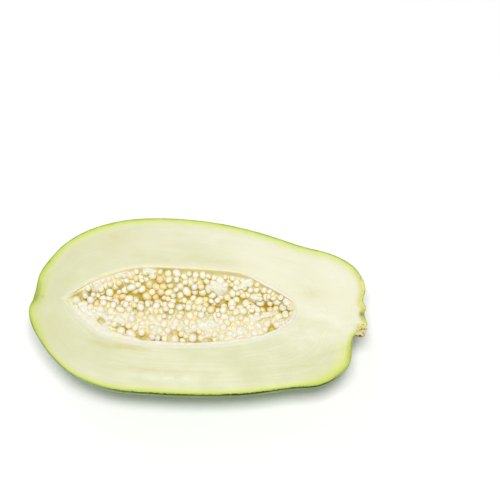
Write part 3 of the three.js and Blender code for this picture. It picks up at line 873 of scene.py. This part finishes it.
def make_stub():
    """The corky stub: knobbly outside, rough and pitted where it is cut."""
    corners = np.arange(len(STUB_PROFILE))
    steps = np.linspace(0, corners[-1], STUB_STEPS + 1)
    along, share = (np.interp(steps, corners, column) for column in STUB_PROFILE.T)
    angle = np.linspace(0, math.pi, STUB_STEPS + 1)
    radius = share[:, None] * STUB_RADIUS * (1 + STUB_KNOB_SHARE * np.cos(STUB_KNOBS * angle))[None, :]
    x = np.broadcast_to((STUB_START + along * STUB_LENGTH)[:, None], radius.shape)
    outside = np.dstack([x, STUB_Y + radius * np.cos(angle), -radius * np.sin(angle)])
    width = np.linspace(0, 1, STUB_CUT_STEPS + 1)[None, :, None]
    top = outside[:, :1] + (outside[:, -1:] - outside[:, :1]) * width
    roughen(outside)
    roughen(top)

    x, y = top[:, :, 0], top[:, :, 1]
    to_core = np.hypot((x - STUB_CORE[0]) / STUB_CORE_LONG, y - STUB_CORE[1])
    holes = marked(x, y, STUB_HOLES)
    top[:, :, 2] -= HOLE_DEPTH * fade(holes, *HOLE_EDGE)
    values = {
        "fleshy": fade(to_core, *FLESHY_ROUND) * fade(x, *FLESHY_ALONG),
        "green": fade(y, *KNOBS_ACROSS) * fade(x, *KNOBS_ALONG),
        "hole_and_shade": holes,
    }
    # Painted shade round the cork's side just under the cut.
    shaded_edge = {"hole_and_shade": SHADED_EDGE * fade(outside[:, :, 2], -SHADED_EDGE_HEIGHT, 0)}
    piece = piece_of("stalk_stub_cork", [(outside, shaded_edge, False), (top, values, True)], stub_look())
    ride_as(piece, "stub", "stalk_stub")


# ---- lining and seeds

samples = np.linspace(0, 1, MOUTH_STEPS + 1)
mouth_far, mouth_near = edge_points(MOUTH_FAR, samples), edge_points(MOUTH_NEAR, samples)
MOUTH_START, MOUTH_END = MOUTH_FAR[0, 0], MOUTH_FAR[-1, 0]


def swell(shape, x):
    """Extra width at x, from a width, the place along X where it is whole and its spread."""
    width, middle, spread = shape
    return width * np.exp(-(((x - middle) / spread) ** 2))


def mouth_at(x):
    """Across the mouth at x: its near and far edge, and the bed's near and far edge between the rims."""
    near = np.interp(x, mouth_near[:, 0], mouth_near[:, 1])
    far = np.maximum(np.interp(x, mouth_far[:, 0], mouth_far[:, 1]), near + MOUTH_NARROWEST)
    limit = LINING_LIMIT * (far - near) / 2
    low = near + np.minimum(NEAR_LINING + swell(NEAR_BULGE, x), limit)
    high = far - np.minimum(FAR_LINING, limit)
    return near, far, low, high


def bed_depth(x, y):
    """Depth of the bed that the seeds grow on, under the cut."""
    near, far, low, high = mouth_at(x)
    across = np.clip((y - low) / (high - low), 0, 1)
    places, depths = BED_PROFILE.T
    i = np.clip(np.searchsorted(places, across, side="right") - 1, 0, len(places) - 2)
    share = (across - places[i]) / (places[i + 1] - places[i])
    depth = depths[i] + (depths[i + 1] - depths[i]) * smooth(share)
    along = (x - MOUTH_START) / (MOUTH_END - MOUTH_START)
    limit = BED_LIMIT * CAVITY_DEPTH * np.sqrt(np.maximum(0, (y - near) * (far - y)))
    return np.minimum(depth, limit) * fade(along, 0, BED_END) * fade(1 - along, 0, BED_END)


def draws(start):
    """The part's own sequence of random numbers from 0 to 1, so that the seeds fall in the same places."""
    value = start
    while True:
        value = value * RANDOM_FACTOR % RANDOM_LIMIT
        yield value / RANDOM_LIMIT


def thrown_seeds(sizes, start):
    """Seeds thrown at random on the bed, as x, y and radius."""
    draw = draws(start)
    for size, throws in sizes:
        for _ in range(throws):
            radius = size * (1 + SEED_SPREAD * (2 * next(draw) - 1))
            x = MOUTH_START + (MOUTH_END - MOUTH_START) * next(draw)
            _, _, low, high = mouth_at(x)
            yield x, low + (high - low) * next(draw), radius


def clears_rims(x, y, radius, bare=1):
    """Whether a seed keeps off the rims, and off this share of the bare bank."""
    angles = np.arange(8) * math.pi / 4
    side_x = x + SEED_MARGIN * radius * np.cos(angles)
    side_y = y + SEED_MARGIN * radius * np.sin(angles)
    _, _, low, high = mouth_at(side_x)
    inside = (side_x > MOUTH_START) & (side_x < MOUTH_END)
    return bool(np.all(inside & (side_y > low) & (side_y < high - bare * swell(BARE_BANK, side_x))))


def placed_seeds():
    """The part's seeds, as rows of x, y, z and radius."""
    x, y, radius = TIP_SEED
    seeds = np.array([(x, y, -radius - SEED_TOP, radius)])
    for x, y, radius in thrown_seeds(SEED_SIZES, RANDOM_START):
        room = np.hypot(seeds[:, 0] - x, seeds[:, 1] - y) >= SEED_CROWDING * (seeds[:, 3] + radius)
        if x > SEEDS_FROM and room.all() and clears_rims(x, y, radius):
            z = min(SEED_RISE * radius - float(bed_depth(x, y)), -radius - SEED_TOP)
            seeds = np.vstack([seeds, (x, y, z, radius)])
    return seeds


def heaped_seeds(seeds):
    """The part's seeds, with smaller ones come to rest in the gaps among them or on their neighbours."""
    for x, y, radius in thrown_seeds(HEAP_SIZES, HEAP_START):
        if not clears_rims(x, y, radius, HEAP_BARE):
            continue
        bed = float(bed_depth(x, y))
        reach = HEAP_SQUEEZE * (seeds[:, 3] + radius)
        apart = np.hypot(seeds[:, 0] - x, seeds[:, 1] - y)
        near = apart < reach
        rests = seeds[near, 2] + np.sqrt(reach[near] ** 2 - apart[near] ** 2)
        z = max(SEED_RISE * radius - bed, rests.max(initial=-FAR_BELOW))
        wander = HEAP_WANDER * noise.noise(Vector((x, y, 0)) * HEAP_WANDER_SCALE)
        hollow = HOLLOW_DEPTH * marked(np.array(x), np.array(y), HOLLOWS)
        thickness = np.interp(bed, HEAP_DEPTHS, HEAP_THICKNESS) * (1 + wander - hollow)
        pitted = marked(np.array(x), np.array(y), PITS) > PIT_FROM
        if z + radius < min(HEAP_TOP, thickness - bed) and x > HEAP_FROM and not pitted:
            seeds = np.vstack([seeds, (x, y, z, radius)])
    return seeds


def wave_at(x, y, wave):
    """Smooth noise over the cut's plane."""
    much, scale, number = wave
    pairs = zip(x.ravel() * scale, y.ravel() * scale)
    return much * np.array([noise.noise(Vector((a, b, number))) for a, b in pairs]).reshape(x.shape)


def sheet_over(x, y, seeds, sag):
    """Height of a soft sheet laid over the seeds. It sags at a seed's side by this many of its radii."""
    height = np.full(x.shape, -float(FAR_BELOW))
    for seed_x, seed_y, seed_z, radius in seeds:
        apart = np.hypot(x - seed_x, y - seed_y) / radius
        height = np.maximum(height, seed_z + radius * (1 - sag * apart**2))
    return height


def tissue_share(x, y):
    """How much of the seeds' height the tissue fills; past 1 it lies over them."""
    _, _, low, high = mouth_at(x)
    bank = np.clip((y - low) / (high - low), 0, 1)
    share = np.interp(bank, *TISSUE.T) + wave_at(x, y, TISSUE_WAVE)
    flap = marked(x, y, FLAPS) * (1 + wave_at(x, y, FLAP_WAVE))
    share = np.maximum(share, TISSUE_MOST * fade(flap, *FLAP_EDGE))
    return np.clip(share * (1 - marked(x, y, PITS)) * (1 - marked(x, y, HOLLOWS)), 0, TISSUE_MOST)


def bare_bed(x, y, off_edge, bank):
    """Depth of the bed's own surface: near edge wavy, far rim thin, far wall filled at the blossom end."""
    wave = wave_at(x, y, RIM_WAVE) * fade(bank, *WAVE_ACROSS)
    trim = FAR_RIM_TRIM * fade(bank, *TRIM_ACROSS) * fade(x, *TRIM_ALONG)
    depth = bed_depth(x, y - (wave + trim) * off_edge)
    return depth * (1 - FAR_FILL * fade(x, *FILL_ALONG) * fade(bank, *FILL_ACROSS))


def tissue_height(x, y, seeds, share):
    """Height of the tissue among the seeds and of the flaps over them, and of the tissue alone."""
    sheet = np.minimum(sheet_over(x, y, seeds, TISSUE_SAG), TISSUE_TOP)
    lift = FLAP_LIFT + wave_at(x, y, FLAP_FOLDS)
    flap = np.minimum(sheet_over(x, y, seeds, FLAP_SAG) + lift, FLAP_TOP)
    return sheet + (flap - sheet) * fade(share, *FLAP_FROM), sheet


def make_lining(seeds):
    top, under = cavity_body(np.linspace(0, math.pi, LINING_STEPS + 1)), cavity_body(hidden_turn)
    x, y = top[:, :, 0], top[:, :, 1]
    near, far, low, high = mouth_at(x)
    bank = (y - low) / (high - low)
    off_edge = fade(y - near, 0, NEAR_EDGE_SOFT) * fade(far - y, 0, FAR_EDGE_SOFT)

    bed = bare_bed(x, y, off_edge, bank)
    inside = fade(bed, 0, INSIDE_FROM)
    bed = bed + wave_at(x, y, BED_LUMPS) * inside

    # The tissue on it, the pits in it and a shallow dish along the rims.
    share = tissue_share(x, y)
    pit = marked(x, y, PITS) * fade(bed, 0, PITS_FROM)
    tissue, sheet = tissue_height(x, y, seeds, share)
    rise = np.maximum(tissue + bed, 0) * np.clip(share, 0, 1)
    dish = RIM_DISH * off_edge * (1 + wave_at(x, y, DISH_WAVE))
    depth = bed - rise * inside + PIT_DEPTH * pit + dish
    top[:, :, 2] = -np.maximum(depth, 0)

    gap = (sheet + depth) * fade(bank, *GAP_ACROSS)
    gold = marked(x, y, HOLLOWS)
    values = {"depth": depth, "bank": bank, "pit": pit, "tissue": share, "gap": gap, "gold": gold}
    piece = piece_of("lining", [(top, values, False), (under, {}, True)], lining_look())
    ride_as(piece, "seeds", "seeds")


def unit_ball():
    """The points and triangles of a ball of radius 1."""
    ball = bmesh.new()
    bmesh.ops.create_icosphere(ball, subdivisions=3, radius=1)
    points = np.array([v.co for v in ball.verts])
    triangles = np.array([[v.index for v in f.verts] for f in ball.faces])
    ball.free()
    return points, triangles


def seed_form(ball, radius, number, rng):
    """One seed round the origin: a ball's points made a lumpy oval, narrower at one end, and turned."""
    turn = np.array(Euler(rng.uniform(0, 2 * math.pi, 3)).to_matrix())
    long = rng.uniform(*SEED_LONG) + LONG_EXTRA * (rng.uniform() < LONG_SHARE)
    stretch = radius * np.array([long, rng.uniform(*SEED_WIDE), rng.uniform(*SEED_THIN)])
    lumps = np.array([noise.noise(Vector(p * SEED_LUMP_SCALE + number * SEED_NOISE_STEP)) for p in ball])
    taper = 1 - SEED_TAPER * rng.uniform() * ball[:, :1]
    narrowed = np.hstack([np.ones_like(taper), taper, taper])
    return (ball * (1 + SEED_LUMPS * lumps[:, None]) * stretch * narrowed) @ turn.T


def make_seeds(seeds):
    """Every seed in one mesh. A value that is the same all over a seed is repeated for each of its points."""
    ball, triangles = unit_ball()
    verts, faces, rows = [], [], []
    all_x, all_y = seeds[:, 0], seeds[:, 1]
    veils = tissue_share(all_x, all_y) + marked(all_x, all_y, PITS)
    golds = marked(all_x, all_y, HOLLOWS)
    same = np.ones(len(ball))
    rng = np.random.default_rng(SEED_FORM_START)
    for number, (x, y, z, radius) in enumerate(seeds):
        points = seed_form(ball, radius, number, rng) + (x, y, z)
        faces.append(triangles + len(verts) * len(ball))
        verts.append(points)
        rows.append({
            "tone": same * rng.uniform(),
            "sunk": PILE_HEIGHT - float(bed_depth(x, y)) - points[:, 2],
            "under": (z - points[:, 2]) / radius,
            "ring": np.hypot(points[:, 0] - x, points[:, 1] - y) / radius,
            "veiled": same * veils[number],
            "glass": same * fade(x, *GLASSY) * (rng.uniform() < GLASSY_SHARE),
            "gold": same * golds[number],
        })
    mesh = bpy.data.meshes.new("seeds")
    mesh.from_pydata(to_part(np.vstack(verts)).tolist(), [], np.vstack(faces).tolist())
    for key in rows[0]:
        attribute = mesh.attributes.new(key, "FLOAT", "POINT")
        attribute.data.foreach_set("value", np.hstack([row[key] for row in rows]).astype(np.float32))
    piece = show("young_seeds", mesh, seed_look())
    ride_as(piece, "seeds", "seeds")


# ---- stage


def make_stage():
    """A plain pale floor, a white sky and the lamps."""
    bpy.ops.mesh.primitive_plane_add(size=FLOOR_SIZE)
    floor = bpy.context.object
    floor.name = "floor"
    look = Look("floor")
    look.set(Base_Color=(0.98, 0.98, 0.98, 1), Roughness=0.9, Specular_IOR_Level=0.1)
    look.set(Emission_Color=WHITE, Emission_Strength=FLOOR_GLOW)
    floor.data.materials.append(look.material)

    world = bpy.data.worlds.new("studio")
    bpy.context.scene.world = world
    world.use_nodes = True
    sky = world.node_tree.nodes["Background"].inputs
    sky["Color"].default_value = WHITE
    sky["Strength"].default_value = SKY

    for name, place, size, power in SOFTBOXES:
        add_softbox(name, place, size, power)
    bpy.context.scene.view_settings.view_transform = "Standard"


def add_softbox(name, place, size, power):
    """A flat lamp that faces the middle of the cut face."""
    light = bpy.data.lights.new(name, "AREA")
    light.shape = "RECTANGLE"
    light.size, light.size_y = size
    light.energy = power
    lamp = bpy.data.objects.new(name, light)
    lamp.location = place
    aim = Vector((0, 0, cad_high.z)) - lamp.location
    lamp.rotation_euler = aim.to_track_quat("-Z", "Y").to_euler()
    bpy.context.scene.collection.objects.link(lamp)


def make_camera():
    camera = bpy.data.cameras.new("camera")
    camera.lens = CAMERA_LENS
    camera.sensor_width = 36
    eye = bpy.data.objects.new("camera", camera)
    eye.location = to_part(CAMERA_PLACE)
    eye.rotation_euler = (math.radians(90 - CAMERA_ELEVATION), 0, math.radians(CAMERA_AZIMUTH))
    bpy.context.scene.collection.objects.link(eye)
    bpy.context.scene.camera = eye


make_camera()
make_stage()
make_flesh()
make_skin()
seeds = heaped_seeds(placed_seeds())
make_lining(seeds)
make_seeds(seeds)
make_stub()
